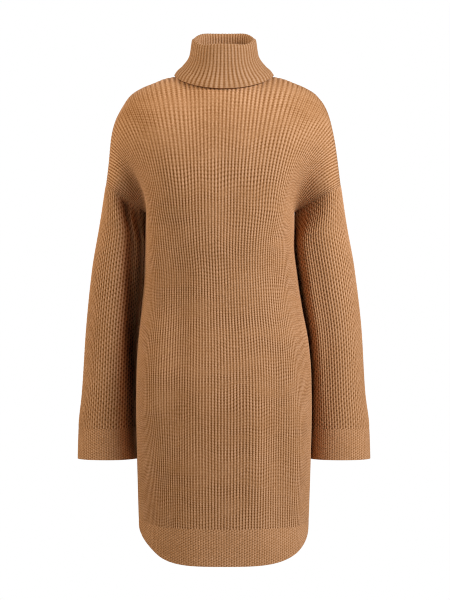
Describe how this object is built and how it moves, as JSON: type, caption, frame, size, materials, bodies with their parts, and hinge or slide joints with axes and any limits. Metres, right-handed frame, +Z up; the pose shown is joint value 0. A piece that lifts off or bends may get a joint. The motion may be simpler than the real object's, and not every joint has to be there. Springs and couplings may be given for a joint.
{
  "type": "sweater dress",
  "caption": "Knee-length rib-knit sweater dress with a roll collar, dropped shoulders, long sleeves and a curved hem, filled out as worn.",
  "frame": {"origin": "middle of the neck base, at the height of the neck end of the shoulders", "axes": "+Z up, front of the dress towards -Y, +X towards the wearer's left"},
  "size_m": [0.5322, 0.2599, 0.9549],
  "materials": {
    "rib_knit": "camel wool-type knit in thick vertical ribs, matt",
    "band_knit": "camel wool-type knit in a fine, flatter stitch, matt"
  },
  "bodies": {
    "root": {"front_panel": "rib_knit", "back_panel": "rib_knit", "front_hem_band": "band_knit", "back_hem_band": "band_knit", "left_sleeve": "rib_knit", "right_sleeve": "rib_knit", "left_cuff": "band_knit", "right_cuff": "band_knit", "roll_collar": "rib_knit"}
  },
  "joints": []
}
